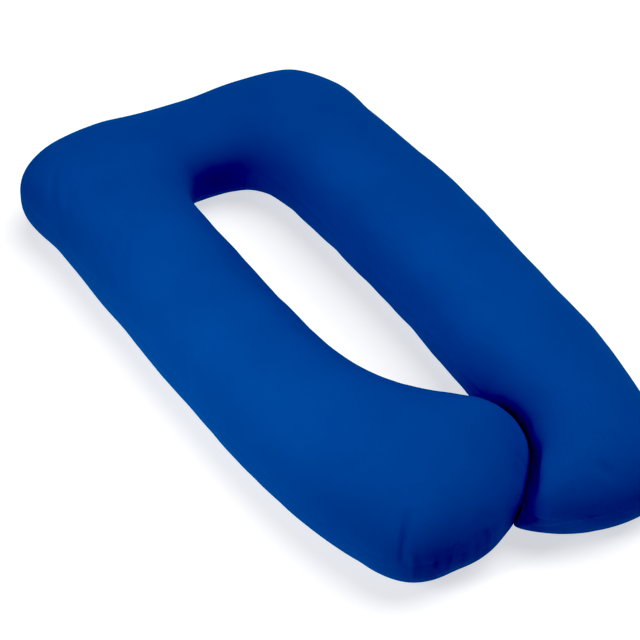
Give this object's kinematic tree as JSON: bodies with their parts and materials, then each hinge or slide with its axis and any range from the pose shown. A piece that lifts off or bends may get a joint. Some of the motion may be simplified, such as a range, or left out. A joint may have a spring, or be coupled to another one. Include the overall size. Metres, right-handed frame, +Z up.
{
  "type": "u-shaped full body pillow",
  "caption": "U-shaped full body pillow: a long filled cover whose arms and head end wrap round a hollow for the body, with the foot ends curved in until they nearly meet.",
  "frame": {"origin": "middle of the pillow's outline, on the surface that it rests on", "axes": "+X from the near arm to the far arm, +Y from the foot to the head end, +Z up from the surface"},
  "size_m": [0.7904, 1.5278, 0.1962],
  "materials": {
    "cover": "matte"
  },
  "bodies": {
    "root": {"pillow": "cover"}
  },
  "joints": []
}
